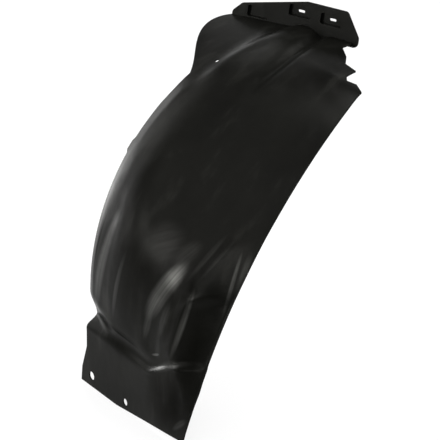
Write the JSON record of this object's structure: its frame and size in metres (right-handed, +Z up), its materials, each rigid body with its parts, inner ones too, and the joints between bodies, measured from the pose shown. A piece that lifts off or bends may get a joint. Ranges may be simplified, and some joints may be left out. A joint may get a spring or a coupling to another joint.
{
  "type": "wheel arch liner",
  "caption": "Thin moulded plastic sheet that lines the front half of a car's wheel arch, with a flat foot panel, a joggle, a domed arch, an outboard ear and an end flange.",
  "frame": {"origin": "centre of the outer screw hole in the foot panel, on the panel's front face", "axes": "+X to the front of the car, +Y inboard, +Z up"},
  "size_m": [0.4228, 0.353, 0.5588],
  "materials": {
    "liner": "satin moulded polypropylene, fine grain"
  },
  "bodies": {
    "root": {"liner": "liner"}
  },
  "joints": []
}
